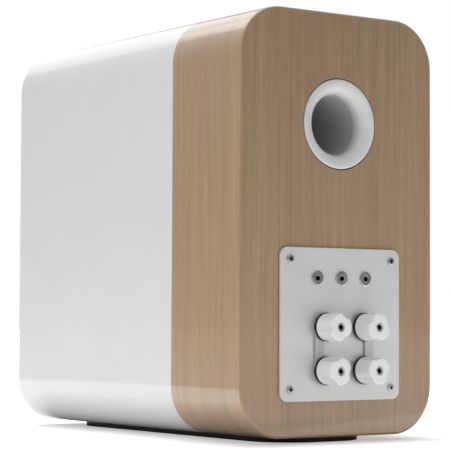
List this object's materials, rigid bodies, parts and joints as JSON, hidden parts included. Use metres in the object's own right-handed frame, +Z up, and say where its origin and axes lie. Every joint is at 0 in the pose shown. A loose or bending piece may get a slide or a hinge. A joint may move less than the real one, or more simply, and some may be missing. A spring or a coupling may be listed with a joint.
{
  "type": "bookshelf loudspeaker",
  "caption": "Two-way bookshelf loudspeaker with rounded edges, a white front shell, a light wood rear shell, a rear port and screw-down cable posts.",
  "frame": {"origin": "floor level, in the middle of the overall width and depth", "axes": "+Z up, the drivers face -Y, the terminals face +Y"},
  "size_m": [0.201, 0.3882, 0.355],
  "materials": {
    "gloss_white_lacquer": "high gloss lacquer on moulded board",
    "oak_veneer": "light oak veneer under gloss lacquer, fine straight grain",
    "bare_fibreboard": "raw fibreboard",
    "white_port_plastic": "satin white moulding",
    "white_cap_plastic": "glossy white moulding",
    "satin_aluminium": "fine bead-blasted and anodised",
    "nickel_plated_brass": "bright nickel plating",
    "stainless_screws": "machined steel",
    "black_plastic": "moulded",
    "black_foam": "closed-cell foam",
    "black_steel": "fine textured powder coat",
    "black_rubber": "matt",
    "trim_ring_metal": "satin anodised",
    "cone_paper": "woven fibre with a satin coating",
    "spider_cloth": "impregnated cloth",
    "voice_coil_copper": "enamelled copper winding",
    "motor_steel": "zinc plated",
    "ferrite": "sintered ferrite",
    "tweeter_plate_plastic": "satin anodised",
    "dome_silk": "coated silk",
    "board_green": "glass-fibre board with solder mask",
    "capacitor_sleeve": "film capacitor sleeve",
    "resistor_ceramic": "cast ceramic",
    "cable_sheath": "twin lead sheath",
    "wadding_fibre": "bonded polyester wadding"
  },
  "bodies": {
    "cabinet": {"acoustic_wadding": "wadding_fibre", "base_isolators": "black_rubber", "base_plate": "black_steel", "base_screws": "stainless_screws", "base_sole": "black_rubber", "cabinet_brace": "bare_fibreboard", "crossover_board": "board_green", "crossover_capacitors": "capacitor_sleeve", "crossover_inductors": "voice_coil_copper", "crossover_resistors": "resistor_ceramic", "front_baffle": "gloss_white_lacquer", "front_cabinet_shell": "gloss_white_lacquer", "level_socket_nuts": "nickel_plated_brass", "level_sockets": "nickel_plated_brass", "link_strap_left": "nickel_plated_brass", "link_strap_right": "nickel_plated_brass", "port_flare": "white_port_plastic", "port_tube": "white_port_plastic", "post_inner_washers": "black_plastic", "post_insulators": "black_plastic", "post_nuts": "nickel_plated_brass", "post_studs": "nickel_plated_brass", "rear_cabinet_shell": "oak_veneer", "seam_collar": "bare_fibreboard", "terminal_gasket": "black_foam", "terminal_plate": "satin_aluminium", "terminal_plate_screws": "stainless_screws", "tweeter_cable": "cable_sheath", "tweeter_faceplate": "tweeter_plate_plastic", "tweeter_magnet": "ferrite", "tweeter_rear_chamber": "black_plastic", "tweeter_screws": "stainless_screws", "tweeter_surround": "dome_silk", "tweeter_top_plate": "motor_steel", "tweeter_yoke": "motor_steel", "woofer_basket": "black_steel", "woofer_cable": "cable_sheath", "woofer_gasket": "black_foam", "woofer_magnet": "ferrite", "woofer_screws": "stainless_screws", "woofer_spider": "spider_cloth", "woofer_surround": "black_rubber", "woofer_top_plate": "motor_steel", "woofer_trim_ring": "trim_ring_metal", "woofer_yoke": "motor_steel"},
    "post_1_slider": {"post_1_washer": "black_plastic"},
    "post_1_knob": {"post_1_cap": "white_cap_plastic"},
    "post_2_slider": {"post_2_washer": "black_plastic"},
    "post_2_knob": {"post_2_cap": "white_cap_plastic"},
    "post_3_slider": {"post_3_washer": "black_plastic"},
    "post_3_knob": {"post_3_cap": "white_cap_plastic"},
    "post_4_slider": {"post_4_washer": "black_plastic"},
    "post_4_knob": {"post_4_cap": "white_cap_plastic"},
    "woofer_diaphragm": {"woofer_cone": "cone_paper", "woofer_dust_cap": "cone_paper", "woofer_voice_coil": "voice_coil_copper"},
    "tweeter_diaphragm": {"tweeter_dome": "dome_silk", "tweeter_voice_coil": "voice_coil_copper"}
  },
  "joints": [
    {"name": "post_1_travel", "type": "slide", "parent": "cabinet", "child": "post_1_slider", "axis": [0, 1, 0], "range_m": [0, 0.005]},
    {"name": "post_1_turn", "type": "hinge", "parent": "post_1_slider", "child": "post_1_knob", "pos_m": [0.018, 0.1757, 0.0949], "axis": [0, 1, 0], "range_deg": [0, 1800]},
    {"name": "post_2_travel", "type": "slide", "parent": "cabinet", "child": "post_2_slider", "axis": [0, 1, 0], "range_m": [0, 0.005]},
    {"name": "post_2_turn", "type": "hinge", "parent": "post_2_slider", "child": "post_2_knob", "pos_m": [-0.0224, 0.1757, 0.0949], "axis": [0, 1, 0], "range_deg": [0, 1800]},
    {"name": "post_3_travel", "type": "slide", "parent": "cabinet", "child": "post_3_slider", "axis": [0, 1, 0], "range_m": [0, 0.005]},
    {"name": "post_3_turn", "type": "hinge", "parent": "post_3_slider", "child": "post_3_knob", "pos_m": [0.018, 0.1757, 0.0593], "axis": [0, 1, 0], "range_deg": [0, 1800]},
    {"name": "post_4_travel", "type": "slide", "parent": "cabinet", "child": "post_4_slider", "axis": [0, 1, 0], "range_m": [0, 0.005]},
    {"name": "post_4_turn", "type": "hinge", "parent": "post_4_slider", "child": "post_4_knob", "pos_m": [-0.0224, 0.1757, 0.0593], "axis": [0, 1, 0], "range_deg": [0, 1800]},
    {"name": "woofer_stroke", "type": "slide", "parent": "cabinet", "child": "woofer_diaphragm", "axis": [0, -1, 0], "range_m": [-0.005, 0.005], "stiffness_N_per_m": 1000, "deforming": ["woofer_surround", "woofer_spider"]},
    {"name": "tweeter_stroke", "type": "slide", "parent": "cabinet", "child": "tweeter_diaphragm", "axis": [0, -1, 0], "range_m": [-0.0004, 0.0004], "stiffness_N_per_m": 2000, "deforming": ["tweeter_surround"]}
  ],
  "couplings": [
    {"joint": "post_1_turn", "follows": "post_1_travel", "rad_per_m": 6283.2},
    {"joint": "post_2_turn", "follows": "post_2_travel", "rad_per_m": 6283.2},
    {"joint": "post_3_turn", "follows": "post_3_travel", "rad_per_m": 6283.2},
    {"joint": "post_4_turn", "follows": "post_4_travel", "rad_per_m": 6283.2}
  ]
}
